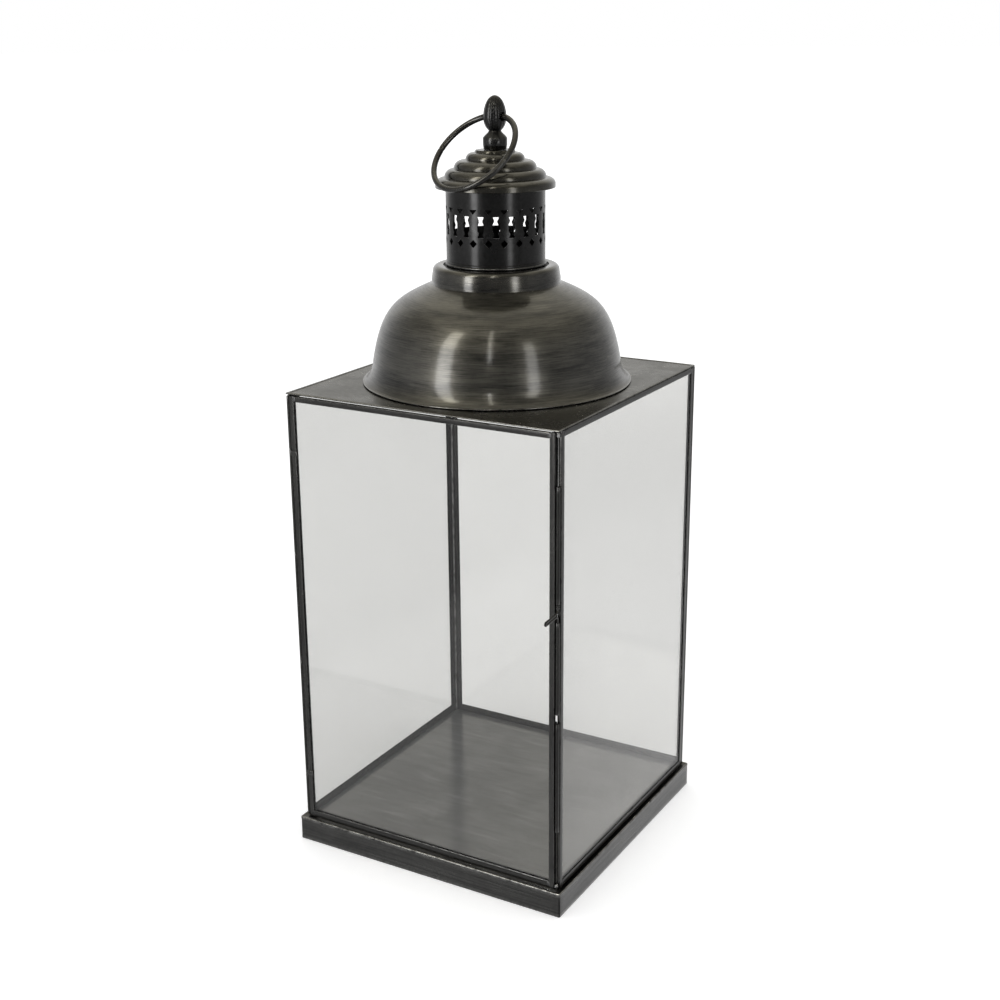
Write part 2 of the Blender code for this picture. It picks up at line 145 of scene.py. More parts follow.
CATCH_DROOP = 0.0010


# -------------------- mesh tools


class Skin:
    """Collects swept surfaces into one mesh. Each point carries how worn it is, from 0 to 1."""

    def __init__(self):
        self.shape = bmesh.new()
        self.worn = self.shape.verts.layers.float.new("wear")

    def sweep(self, stations, wear=None, ring=False, closed=True):
        """Bridges sections of equal length. A ring joins its last section to its first."""
        rows = []
        for station in stations:
            row = [self.shape.verts.new(point) for point in station]
            for vert, value in zip(row, wear or []):
                vert[self.worn] = value
            rows.append(row)
        pairs = list(zip(rows, rows[1:]))
        if ring:
            pairs.append((rows[-1], rows[0]))
        for one, other in pairs:
            for i in range(0 if closed else 1, len(one)):
                self.shape.faces.new((one[i - 1], one[i], other[i], other[i - 1]))
        if closed and not ring:
            self.shape.faces.new(rows[0])
            self.shape.faces.new(rows[-1])
        return self

    def done(self, name, material, smooth=38):
        bmesh.ops.remove_doubles(self.shape, verts=self.shape.verts, dist=1e-6)
        bmesh.ops.recalc_face_normals(self.shape, faces=self.shape.faces)
        mesh = bpy.data.meshes.new(name)
        self.shape.to_mesh(mesh)
        self.shape.free()
        mesh.materials.append(material)
        mesh.shade_smooth()
        mesh.set_sharp_from_angle(angle=math.radians(smooth))
        piece = bpy.data.objects.new(name, mesh)
        bpy.context.scene.collection.objects.link(piece)
        return piece


def install(piece, node, *others):
    """The piece stands for these CAD nodes: it goes on their body, and they are hidden."""
    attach(piece, BODY_OF[node])
    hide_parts(node, *others)
    return piece


def arc(centre, radii, start, end, steps):
    """Points on an ellipse, angles in degrees from the outward direction."""
    angles = [math.radians(start + (end - start) * i / steps) for i in range(steps + 1)]
    return [(centre[0] + radii[0] * math.cos(a), centre[1] + radii[1] * math.sin(a)) for a in angles]


def bezier(start, first, second, end, steps):
    """Points on a cubic curve, both ends included."""
    points = []
    for i in range(steps + 1):
        t = i / steps
        u = 1 - t
        weights = (u**3, 3 * t * u * u, 3 * t * t * u, t**3)
        point = Vector((0, 0))
        for control, weight in zip((start, first, second, end), weights):
            point += Vector(control) * weight
        points.append(tuple(point))
    return points


def rounded(outline, radius, steps=3):
    """A closed outline with each corner replaced by a small curve."""
    points = [Vector(point) for point in outline]
    made = []
    for i, corner in enumerate(points):
        before = points[i - 1] - corner
        after = points[(i + 1) % len(points)] - corner
        one = corner + before * min(radius / before.length, 0.45)
        other = corner + after * min(radius / after.length, 0.45)
        for k in range(steps + 1):
            t = k / steps
            made.append(tuple((1 - t) ** 2 * one + 2 * t * (1 - t) * corner + t * t * other))
    return made


def inner_line(profile, thickness):
    """The same line moved inwards by the sheet's thickness, in reverse order."""
    points = [Vector(point) for point in profile]
    moved = []
    for i, point in enumerate(points):
        before = points[max(i - 1, 0)]
        after = points[min(i + 1, len(points) - 1)]
        sides = [side for side in (point - before, after - point) if side.length]
        normals = [Vector((-side.y, side.x)).normalized() for side in sides]
        normal = sum(normals, Vector((0, 0))).normalized()
        moved.append(tuple(point + normal * thickness / max(normal.dot(normals[-1]), 0.6)))
    return moved[::-1]


def near(section, corners, reach):
    """How worn each point of a section is: 1 at the given corners, fading to 0 at reach."""
    far = [min((Vector(point) - Vector(corner)).length for corner in corners) for point in section]
    return [max(0.0, 1 - distance / reach) for distance in far]


def rubbed_most(*layers):
    """For each point of a section, the most that any of the layers of wear gives it."""
    return [max(values) for values in zip(*layers)]


def fainter(wear, share):
    return [value * share for value in wear]


def raised(profile):
    """Heights counted from the plate's top, turned into world heights."""
    return [(radius, height + PLATE_TOP) for radius, height in profile]


def revolved(profile, steps, centre=(0, 0), wobble=0.0):
    """Sections of a turned piece. wobble is how far, in metres, it is from truly round."""
    stations = []
    for i in range(steps):
        angle = math.tau * i / steps
        out = Vector((math.cos(angle), math.sin(angle)))
        section = []
        for radius, height in profile:
            place = Vector((out.x * 1.4, out.y * 1.4, height * 16))
            reach = radius + wobble * noise.noise(place)
            section.append((centre[0] + reach * out.x, centre[1] + reach * out.y, height))
        stations.append(section)
    return stations


LEVEL_AXES = (Vector((1, 0, 0)), Vector((0, 1, 0)), UP)
CORNER_STEPS = 6


def framed(section, half, corner, frame_axes, origin, steps):
    """Carries a section of (inset, height) round a rectangle with rounded corners.

    An inset larger than the corner's radius meets its neighbour in a mitre.
    """
    across, up, out = frame_axes
    path = []
    for quarter, (sign_x, sign_y) in enumerate(((1, -1), (1, 1), (-1, 1), (-1, -1))):
        for k in range(CORNER_STEPS + 1):
            angle = math.pi / 2 * (quarter - 1 + k / CORNER_STEPS)
            path.append((sign_x, sign_y, math.cos(angle), math.sin(angle)))
        next_x, next_y = ((1, 1), (-1, 1), (-1, -1), (1, -1))[quarter]
        for k in range(1, steps):
            t = k / steps
            x = sign_x + (next_x - sign_x) * t
            y = sign_y + (next_y - sign_y) * t
            angle = math.pi / 2 * quarter
            path.append((x, y, math.cos(angle), math.sin(angle)))
    stations = []
    for x, y, cosine, sine in path:
        station = []
        for inset, height in section:
            hold = max(corner, inset)
            bend = max(corner - inset, 0)
            right = x * max(half[0] - hold, 0) + bend * cosine
            above = y * max(half[1] - hold, 0) + bend * sine
            station.append(origin + across * right + up * above + out * height)
        stations.append(station)
    return stations


def piped(path, radius, sides, ring=False):
    """Circles carried along a path of points. A ring's path comes back to its start."""
    points = [Vector(point) for point in path]
    count = len(points)
    stations = []
    side = None
    for i, point in enumerate(points):
        before = points[i - 1] if i or ring else point
        after = points[(i + 1) % count] if i + 1 < count or ring else point
        along = (after - before).normalized()
        if side is None:
            side = along.orthogonal().normalized()
        side = (side - along * side.dot(along)).normalized()
        other = along.cross(side)
        angles = [math.tau * k / sides for k in range(sides)]
        stations.append([point + (side * math.cos(a) + other * math.sin(a)) * radius for a in angles])
    return stations


def ripple(stations, size, pitch, direction, seed):
    """Moves each point along a direction by smooth noise, so that sheet isn't perfectly flat."""
    moved = []
    for station in stations:
        row = []
        for point in station:
            point = Vector(point)
            off = size * noise.noise(point / pitch + Vector((seed, 2 * seed, 3 * seed)))
            row.append(point + direction * off)
        moved.append(row)
    return moved


# -------------------- materials


class Graph:
    """Adds shader nodes in short calls, each of which returns the node's output."""

    def __init__(self, tree):
        self.tree = tree
        tree.nodes.clear()

    def add(self, kind, inputs=None, out=0, **settings):
        made = self.tree.nodes.new("ShaderNode" + kind)
        for key, value in settings.items():
            setattr(made, key, value)
        for key, value in (inputs or {}).items():
            if isinstance(value, bpy.types.NodeSocket):
                self.tree.links.new(value, made.inputs[key])
            else:
                made.inputs[key].default_value = value
        return made.outputs[out] if made.outputs else None

    def math(self, operation, one, other=0.0):
        return self.add("Math", {0: one, 1: other}, operation=operation)

    def vector(self, operation, one, other):
        return self.add("VectorMath", {0: one, 1: other}, operation=operation)

    def noise(self, vector, scale, detail=4.0, rough=0.55, distortion=0.0):
        inputs = {"Vector": vector, "Scale": scale, "Detail": detail, "Roughness": rough}
        inputs["Distortion"] = distortion
        return self.add("TexNoise", inputs)

    def between(self, value, low, high, start=0.0, end=1.0):
        inputs = {"Value": value, "From Min": low, "From Max": high, "To Min": start, "To Max": end}
        return self.add("MapRange", inputs, interpolation_type="SMOOTHSTEP")

    def blend(self, one, other, share):
        """A share of the first value and the rest of the second."""
        rest = self.math("MULTIPLY", other, 1 - share)
        return self.math("ADD", self.math("MULTIPLY", one, share), rest)

    def choose(self, factor, one, other):
        return self.add("Mix", {0: factor, 2: one, 3: other}, data_type="FLOAT")

    def mix(self, factor, one, other):
        return self.add("Mix", {0: factor, 6: one, 7: other}, out=2, data_type="RGBA")

    def place(self):
        """The point's place on the object at rest."""
        return self.add("TexCoord", out=3)


def grey(level, warmth=0.0):
    """A near-neutral colour: warmth above 0 leans to brown, below 0 to blue."""
    return (level * (1 + 0.5 * warmth), level, level * (1 - 1.6 * warmth), 1)


def new_material(name):
    material = bpy.data.materials.new(name)
    material.use_nodes = True
    return material, Graph(material.node_tree)


# How many noise features there are to a metre
PATCHES = 24
MOTTLE = 260
GRAIN = 1500
RUBBING = 130
FINE_TURNING = 1100
BROAD_TURNING = 60

# How far the ambient occlusion reaches when it finds the corners that get painted shade
PAINTED_SHADE_REACH = 0.007
GLASS_IOR = 1.45


def spin_coordinates(graph, place, turns, lines):
    """Long round the axis and short along the profile, so that noise reads as turning marks."""
    flat = graph.vector("MULTIPLY", place, (1, 1, 0))
    radius = graph.add("VectorMath", {0: flat}, out=1, operation="LENGTH")
    out = graph.add("VectorMath", {0: flat}, operation="NORMALIZE")
    height = graph.add("SeparateXYZ", {0: place}, out=2)
    along = graph.math("MULTIPLY", graph.math("SUBTRACT", height, radius), lines)
    spread = graph.vector("MULTIPLY", out, (turns, turns, 0))
    return graph.vector("ADD", spread, graph.add("CombineXYZ", {2: along}))


def metal_pattern(graph, place, spun, streaks):
    """How light each point of old metal is, and the height of its fine marks."""
    patches = graph.noise(place, PATCHES, 5, 0.6, 0.4)
    mottle = graph.noise(place, MOTTLE, 5, 0.65)
    tone = graph.blend(patches, mottle, 0.62)
    marks = mottle
    if spun:
        lines = graph.noise(spin_coordinates(graph, place, 4.0, FINE_TURNING), 1.0, 4, 0.7)
        bands = graph.noise(spin_coordinates(graph, place, 1.6, BROAD_TURNING), 1.0, 4, 0.6)
        tone = graph.blend(tone, graph.blend(lines, bands, 0.5), 0.15)
        marks = graph.blend(lines, mottle, 0.85)
    if streaks:
        brushing = graph.noise(graph.vector("MULTIPLY", place, streaks), 1.0, 4, 0.6, 0.2)
        tone = graph.blend(tone, brushing, 0.4)
    return tone, marks


def bell_dullness(graph, place):
    """Added roughness below the dome's collar: the bell is brushed, and the collar is polished."""
    height = graph.add("SeparateXYZ", {0: place}, out=2)
    collar = PLATE_TOP + COLLAR_FOOT
    return graph.between(height, collar - 0.002, collar, 0.13, 0.0)


def aged_metal(name, dark, light, rough, worn, lacquer, warmth=0.03, spun=False, streaks=None):
    """Old pewter or blackened steel under thin lacquer, with rubbed edges and painted shade in its
    corners.

    A spun piece has turning marks. On others, streaks is how fine the brushing is along X, Y and Z.
    worn is the grey of a rubbed edge.
    """
    material, graph = new_material(name)
    place = graph.place()
    tone, marks = metal_pattern(graph, place, spun, streaks)
    grain = graph.noise(place, GRAIN, 2, 0.5)
    colour = graph.mix(graph.between(tone, 0.36, 0.64), grey(dark, warmth), grey(light, warmth))
    # Painted shade: in corners, creases and recesses that ambient occlusion finds, the colour darkens to
    # a fifth of its darkest tone.
    painted_shade_ao = graph.add("AmbientOcclusion", {"Distance": PAINTED_SHADE_REACH}, out=1, samples=6, only_local=False)
    out_of_painted_shade = graph.between(painted_shade_ao, 0.15, 0.6)
    colour = graph.mix(out_of_painted_shade, grey(0.2 * dark), colour)
    wear = graph.add("Attribute", out=2, attribute_name="wear")
    rub = graph.math("MULTIPLY", wear, graph.between(graph.noise(place, RUBBING, 4, 0.7), 0.34, 0.58))
    colour = graph.mix(rub, colour, grey(worn, 0.02))
    shine = graph.between(tone, 0.3, 0.7, rough + 0.07, rough - 0.06)
    if spun:
        shine = graph.math("ADD", shine, bell_dullness(graph, place))
    shine = graph.choose(rub, shine, rough - 0.06)
    relief = graph.blend(marks, grain, 0.7)
    inputs = {
        "Base Color": colour,
        "Metallic": 0.9,
        "Roughness": shine,
        "Normal": graph.add("Bump", {"Strength": 0.3, "Distance": 0.00025, "Height": relief}),
        "Coat Weight": lacquer,
        "Coat Roughness": 0.55 * rough,
    }
    if spun:
        inputs["Anisotropic"] = 0.4
        inputs["Anisotropic Rotation"] = 0.25
        inputs["Tangent"] = graph.add("Tangent", direction_type="RADIAL", axis="Z")
    graph.add("OutputMaterial", {0: graph.add("BsdfPrincipled", inputs)})
    return material


def scratched_sheet(name):
    """The floor inside: dull bare sheet with long wipe marks and fine crossing scratches."""
    material, graph = new_material(name)
    place = graph.place()
    cloud = graph.noise(place, 14, 5, 0.6, 0.6)
    wipe = graph.noise(graph.vector("MULTIPLY", place, (16, 150, 1)), 1.0, 4, 0.6, 0.5)
    cross = graph.noise(graph.vector("MULTIPLY", place, (420, 30, 1)), 1.0, 3, 0.6, 0.3)
    scratch = graph.math("MAXIMUM", graph.between(wipe, 0.60, 0.68), graph.between(cross, 0.64, 0.72))
    tone = graph.blend(cloud, wipe, 0.6)
    colour = graph.mix(graph.between(tone, 0.36, 0.64), grey(0.155), grey(0.235))
    colour = graph.mix(graph.math("MULTIPLY", scratch, 0.25), colour, grey(0.40))
    speck = graph.between(graph.noise(place, 520, 3, 0.5), 0.66, 0.74)
    colour = graph.mix(graph.math("MULTIPLY", speck, 0.5), colour, grey(0.05))
    relief = graph.blend(wipe, cloud, 0.6)
    inputs = {
        "Base Color": colour,
        "Metallic": 0.55,
        "Roughness": graph.between(tone, 0.3, 0.7, 0.22, 0.14),
        "Normal": graph.add("Bump", {"Strength": 0.12, "Distance": 0.0003, "Height": relief}),
    }
    graph.add("OutputMaterial", {0: graph.add("BsdfPrincipled", inputs)})
    return material


def pane_glass(name, clear_share):
    """Thin clear glass: a tinted see-through layer under a weak mirror, wavy as drawn glass is.

    clear_share is how much light one face of the pane lets through.
    """
    material, graph = new_material(name)
    place = graph.place()
    wave = graph.noise(graph.vector("MULTIPLY", place, (9, 9, 3)), 1.0, 2, 0.4)
    bump = graph.add("Bump", {"Strength": 0.35, "Distance": 0.002, "Height": wave})
    cloud = graph.noise(place, 11, 5, 0.6)
    haze = graph.between(cloud, 0.3, 0.75, clear_share - 0.004, clear_share + 0.004)
    tint = graph.add("CombineColor", {0: haze, 1: haze, 2: graph.math("MULTIPLY", haze, 0.994)})
    clear = graph.add("BsdfTransparent", {0: tint})
    mirror = graph.add("BsdfGlossy", {"Color": (1, 1, 1, 1), "Roughness": 0.03, "Normal": bump})
    behind = graph.add("NewGeometry", out=6)
    bend = graph.choose(behind, GLASS_IOR, 1 / GLASS_IOR)
    share = graph.add("Fresnel", {"IOR": bend, "Normal": bump})
    graph.add("OutputMaterial", {0: graph.add("MixShader", {0: share, 1: clear, 2: mirror})})
    return material


def solder_metal(name, dark, light):
    """Bright lumpy solder that has dulled in its hollows."""
    material, graph = new_material(name)
    place = graph.place()
    lumps = graph.noise(place, 420, 4, 0.6, 0.4)
    dull = graph.noise(place, 120, 4, 0.6)
    colour = graph.mix(graph.between(dull, 0.35, 0.65), grey(dark), grey(light))
    inputs = {
        "Base Color": colour,
        "Metallic": 0.88,
        "Roughness": graph.between(lumps, 0.3, 0.7, 0.42, 0.26),
        "Normal": graph.add("Bump", {"Strength": 0.5, "Distance": 0.0004, "Height": lumps}),
    }
    graph.add("OutputMaterial", {0: graph.add("BsdfPrincipled", inputs)})
    return material


# -------------------- pieces


def channel(node, outward, material, seed):
    """A folded U with a slightly crowned face, soft folds and the small waves of hand work."""
    low = low_of(node)
    high = high_of(node)
    middle = (low + high) / 2
    size = high - low
    sideways = UP.cross(outward)
    if node.endswith("rail"):
        opens = UP if "bottom" in node else -UP
    else:
        opens = sideways if middle.dot(sideways) < 0 else -sideways
    along = outward.cross(opens)
    width = abs(size.dot(opens))
    depth = abs(size.dot(outward))
    length = abs(size.dot(along))
    lip = (depth - PANE) / 2 - GAP
    edge = width / 2
    outline = [(edge, 0), (edge / 2, -0.8 * CROWN), (0, -CROWN), (-edge / 2, -0.8 * CROWN), (-edge, 0)]
    outline += [(-edge, depth), (edge, depth), (edge, depth - lip), (CHANNEL_WALL - edge, depth - lip)]
    outline += [(CHANNEL_WALL - edge, lip), (edge, lip)]
    section = rounded(outline, FOLD_RADIUS)
    wear = near(section, [(-edge, 0), (edge, 0)], 0.0009)
    start = middle + outward * depth / 2 - along * length / 2
    count = max(8, round(length / 0.008))
    inside = [length * i / count for i in range(1, count)]
    places = [0, END_TUCK, *inside, length - END_TUCK, length]
    stations = []
    for i, place in enumerate(places):
        tuck = 0.97 if i in (0, len(places) - 1) else 1.0
        swell = 0.00007 * noise.noise(Vector((place * 30, seed, 0.5)))
        drift = 0.00012 * noise.noise(Vector((place * 9, 0.5, seed)))
        base = start + along * place + opens * drift + outward * swell
        stations.append([base + opens * across * tuck - outward * deep for across, deep in section])
    return install(Skin().sweep(stations, wear).done(node + "_fine", material), node)


def pane(node, outward, material):
    low = low_of(node)
    high = high_of(node)
    sideways = UP.cross(outward)
    half = (abs((high - low).dot(sideways)) / 2, (high.z - low.z) / 2)
    middle = (low + high) / 2
    soft = 0.0003
    section = [(half[0], PANE / 2), (soft, PANE / 2), (0, PANE / 2 - soft), (0, soft - PANE / 2)]
    section += [(soft, -PANE / 2), (half[0], -PANE / 2)]
    stations = framed(section, half, 0.001, (sideways, UP, outward), middle, 12)
    return install(Skin().sweep(stations, ring=True, closed=False).done(node + "_fine", material), node)


def strip(node, thin_axis, material, seed):
    """A short flat strip with rubbed edges, a little uneven."""
    low = low_of(node)
    high = high_of(node)
    size = high - low
    across = UP.cross(thin_axis)
    half = (abs(size.dot(across)) / 2, size.z / 2)
    thick = abs(size.dot(thin_axis)) / 2
    soft = min(0.00035, thick * 0.7)
    reach = min(half)
    nick = soft * 0.3
    section = [(reach, thick), (reach / 2, thick), (soft, thick), (nick, thick - nick), (0, thick - soft)]
    section += [(0, soft - thick), (nick, nick - thick), (soft, -thick), (reach, -thick)]
    wear = near(section, [(0, thick), (0, -thick)], 0.0007)
    steps = max(6, round(max(half) / 0.004))
    stations = framed(section, half, 0.0005, (across, UP, thin_axis), (low + high) / 2, steps)
    stations = ripple(stations, 0.00012, 0.012, thin_axis, seed)
    piece = Skin().sweep(stations, wear, ring=True, closed=False).done(node + "_fine", material)
    return install(piece, node)


def tube(node, axis, material, seed):
    """A thin drawn tube with soft ends."""
    low = low_of(node)
    high = high_of(node)
    radius = (high.x - low.x) / 2
    outline = [(radius, high.z), (radius, low.z), (TUBE_BORE, low.z), (TUBE_BORE, high.z)]
    section = rounded(outline, 0.0002, 2)
    wear = fainter(near(section, outline[:2], 0.0012), 0.7)
    steps = max(2, round((high.z - low.z) / 0.006))
    wall = [(radius, high.z + (low.z - high.z) * k / steps) for k in range(1, steps)]
    top_corner = 3
    section = section[:top_corner] + wall + section[top_corner:]
    wear = wear[:top_corner] + [0.0] * len(wall) + wear[top_corner:]
    stations = ripple(revolved(section, 28, axis), 0.00005, 0.010, Vector((0.7, 0.7, 0)), seed)
    return install(Skin().sweep(stations, wear, ring=True).done(node + "_fine", material), node)


def hinge_pin(material):
    low = low_of("hinge_pin").z
    high = high_of("hinge_pin").z
    radius = high_of("hinge_pin").x - AXIS_OF["door_hinge"].x
    profile = arc((0, low + radius * 0.5), (radius, radius * 0.5), -90, 0, 4)
    profile += arc((0, high - radius * 0.5), (radius, radius * 0.5), 0, 90, 4)
    stations = revolved(profile, 24, AXIS_OF["door_hinge"])
    install(Skin().sweep(stations, ring=True, closed=False).done("hinge_pin_fine", material), "hinge_pin")


def tray_section():
    """The tray's section as (inset, height): floor, skirt, rolled bead, sunk ledge, and back inside."""
    top = BASE_HEIGHT
    ledge = top - LEDGE_SUNK
    section = [(BASE_HALF, 0), (0.02, 0), (0.0008, 0), (0.0002, 0.0002), (0, 0.0008)]
    section += [(0, top * k / 6) for k in range(1, 6)]
    roll = arc((0, top - TRAY_BEAD), (TRAY_BEAD, TRAY_BEAD), 0, 110, 6)
    section += [(TRAY_BEAD - x, z) for x, z in roll]
    section += [(0.0020, ledge), (0.006, ledge), (LEDGE, ledge), (LEDGE, top - SHEET)]
    section += [(SHEET, top - SHEET), (SHEET, SHEET), (BASE_HALF, SHEET)]
    return section


def base_tray(material):
    """The skirted tray, its skirt pressed in slightly under the bead and seamed at the corners."""
    top = BASE_HEIGHT
    section = tray_section()
    bead_wear = near(section, [(TRAY_BEAD * 0.3, top - TRAY_BEAD * 0.3)], 0.0016)
    wear = rubbed_most(bead_wear, fainter(near(section, [(0, 0)], 0.0012), 0.6))
    side_steps = 44
    stations = framed(section, (BASE_HALF, BASE_HALF), 0.0016, LEVEL_AXES, Vector(), side_steps)
    per_side = CORNER_STEPS + side_steps
    for i, station in enumerate(stations):
        on_seam = i % per_side == CORNER_STEPS // 2
        for point in station:
            inward = Vector((-point.x, -point.y, 0)).normalized()
            lean = noise.noise(Vector((point.x * 9, point.y * 9, point.z * 20)))
            outer = max(abs(point.x), abs(point.y)) > BASE_HALF - 0.0012
            if outer and 0.001 < point.z < top - 0.002:
                point += inward * SKIRT_PRESS * (1 + lean)
            if on_seam and outer and 0.0004 < point.z < 0.7 * top:
                point += inward * SEAM_DEPTH
    skin = Skin().sweep(stations, wear, ring=True, closed=False)
    install(skin.done("base_tray_fine", material), "base_tray")


def floor_sheet(material):
    low = low_of("floor_plate")
    high = high_of("floor_plate")
    half = high.x
    thick = high.z - low.z
    section = [(half * (1 - k / 12), thick / 2) for k in range(12)]
    section += [(0.0003, thick / 2), (0, thick / 2 - 0.0003), (0, -thick / 2), (half, -thick / 2)]
    middle = Vector((0, 0, (low.z + high.z) / 2))
    stations = framed(section, (half, half), 0.0005, LEVEL_AXES, middle, 30)
    stations = ripple(stations, 0.00025, 0.06, UP, 3.1)
    skin = Skin().sweep(stations, ring=True, closed=False)
    install(skin.done("floor_plate_fine", material), "floor_plate")


def plate_rim():
    """The plate's edge as (inset, height): round the outside, over the flat hem and down its step."""
    under = PLATE_UNDER
    top = PLATE_TOP
    edge = [(0.0012, under), (0.0004, under + 0.0001), (0, under + 0.0005), (0, top - 0.0006)]
    edge += [(0.0002, top - 0.0002), (0.0007, top), (HEM - 0.0003, top), (HEM, top - HEM_STEP)]
    return edge


def top_plate(material):
    """A square plate with a hem folded flat round its edge and a round opening under the dome."""
    edge = plate_rim()
    top_wear = near(edge, [(0.0001, PLATE_TOP - 0.0001)], 0.0009)
    wear = rubbed_most(top_wear, fainter(near(edge, [(0, PLATE_UNDER)], 0.0009), 0.5))
    spans = 10
    stations = []
    for rim in framed(edge, (HALF, HALF), 0.0012, LEVEL_AXES, Vector(), 64):
        rim = [point + UP * 0.00012 * noise.noise(point * 22) for point in rim]
        start = rim[-1]
        end = Vector((start.x, start.y, 0)).normalized() * PLATE_OPENING
        end.z = PLATE_TOP - HEM_STEP
        across = [start.lerp(end, k / spans) for k in range(1, spans + 1)]
        across = [point + UP * 0.00015 * noise.noise(point * 30) for point in across]
        stations.append(rim + across + [Vector((end.x, end.y, PLATE_UNDER))])
    wear += [0.0] * (spans + 1)
    install(Skin().sweep(stations, wear, ring=True).done("top_plate_fine", material), "top_plate")


def dome_outside():
    """The dome's outer line, from its flange to the seat, and how many points the flange has."""
    rim = SHEET + GAP
    wall = (DOME_WALL, DOME_WALL_START)
    inset = DOME_FLANGE - 0.004
    flange = [(inset, rim), (DOME_FLANGE, rim), (DOME_FLANGE, GAP), (inset, GAP)]
    edge = rounded(flange, 0.0003)[4:12][::-1]
    flare = bezier((DOME_FLANGE - 0.0012, rim), (0.1202, 0.0026), (0.1150, 0.0110), wall, 16)
    shoulder = bezier(wall, (0.1060, 0.0699), (0.0930, 0.0753), (COLLAR_RADIUS, COLLAR_FOOT), 64)
    neck = [(COLLAR_RADIUS, COLLAR_FOOT + NECK_STEP * k) for k in (1, 2)]
    roll = arc((COLLAR_RADIUS - 0.0062, COLLAR_TOP - COLLAR_ROLL), (COLLAR_ROLL, COLLAR_ROLL), 0, 90, 10)
    seat = COLLAR_TOP - SEAT_DROP
    lip = [(SEAT_RADIUS + 0.003, COLLAR_TOP), (SEAT_RADIUS, COLLAR_TOP), (SEAT_RADIUS, seat)]
    outside = edge + flare + shoulder[1:] + neck + roll + rounded(lip, 0.0004)[4:8]
    outside += [(SEAT_RADIUS, seat), (SEAT_OPENING, seat)]
    return outside, len(edge)


def dome(material):
    """One spun sheet: a flat flange, a bell, and a collar whose top drops to a seat for the chimney."""
    outside, flange_points = dome_outside()
    inside = inner_line(outside[flange_points:], SHEET)
    profile = outside + inside[:-1] + [(DOME_WALL + 0.0030, GAP)]
    lip_wear = near(profile, [(SEAT_RADIUS + 0.001, COLLAR_TOP)], 0.0022)
    wear = rubbed_most(near(profile, [(DOME_FLANGE, SHEET + GAP)], 0.0008), fainter(lip_wear, 0.7))
    stations = revolved(raised(profile), 240, wobble=0.00025)
    install(Skin().sweep(stations, wear, ring=True).done("dome_fine", material, 50), "dome")


def piercing_outlines():
    """Outlines, as (across, up), of the gallery's slot, triangle and diamond."""
    right = [(0.0031, 0.0093), (0.0016, 0.0058), (0.0032, 0.0029)]
    right += [(across, -up) for across, up in reversed(right)]
    slot = [(across, PIERCING_MIDDLE + up) for across, up in right]
    slot += [(-across, up) for across, up in reversed(slot)]
    triangle = [(-0.0038, 0.1603), (0, 0.1559), (0.0038, 0.1603)]
    diamond = [(0, 0.1344), (-0.0035, 0.1306), (0, 0.1268), (0.0035, 0.1306)]
    return [rounded(outline, 0.0007, 2) for outline in (slot, triangle, diamond)]


def subtract(piece, cutter):
    """Cuts the closed cutter out of the piece and removes the cutter."""
    modifier = piece.modifiers.new("cut", "BOOLEAN")
    modifier.operation = "DIFFERENCE"
    modifier.solver = "EXACT"
    modifier.object = cutter
    bpy.context.view_layer.update()
    graph = bpy.context.evaluated_depsgraph_get()
    cut = bpy.data.meshes.new_from_object(piece.evaluated_get(graph))
    piece.modifiers.clear()
    piece.data = cut
    cut.shade_smooth()
    cut.set_sharp_from_angle(angle=math.radians(30))
    bpy.data.objects.remove(cutter, do_unlink=True)


def chimney_tube(material):
    """The tube before it is pierced, with a turned bead and a fine groove at its foot."""
    radius = CHIMNEY_RADIUS
    inner = radius - SHEET
    groove = COLLAR_TOP + 0.0041
    profile = [(radius, CHIMNEY_TOP), (radius, GALLERY_TOP), (radius, GALLERY_FOOT)]
    profile += [(radius, groove + 0.0004), (radius - 0.0003, groove), (radius, groove - 0.0004)]
    profile += arc((radius, COLLAR_TOP + CHIMNEY_BEAD), (CHIMNEY_BEAD, CHIMNEY_BEAD), 90, -90, 8)
    profile += [(radius, CHIMNEY_FOOT), (inner, CHIMNEY_FOOT), (inner, CHIMNEY_TOP)]
    wear = near(profile, [(radius + CHIMNEY_BEAD, COLLAR_TOP + CHIMNEY_BEAD)], 0.0016)
    stations = revolved(raised(profile), 12 * PIERCINGS)
    return Skin().sweep(stations, wear, ring=True).done("chimney_fine", material)


def chimney(material):
    """A tube with a gallery of slots, triangles and diamonds cut right through it."""
    tube_piece = chimney_tube(material)
    cutters = Skin()
    pitch = math.tau / PIERCINGS
    slot, triangle, diamond = piercing_outlines()
    for i in range(PIERCINGS):
        for outline, turn in ((slot, i), (triangle, i + 0.5), (diamond, i + 0.5)):
            angle = PIERCING_TURN + turn * pitch
            out = Vector((math.cos(angle), math.sin(angle), 0))
            side = Vector((-out.y, out.x, 0))
            start = out * (CHIMNEY_RADIUS - SHEET - CUTTER_REACH / 2)
            near_end = [start + side * x + UP * (z + PLATE_TOP) for x, z in outline]
            cutters.sweep([near_end, [point + out * CUTTER_REACH for point in near_end]])
    subtract(tube_piece, cutters.done("chimney_cutter", material))
    install(tube_piece, "chimney")


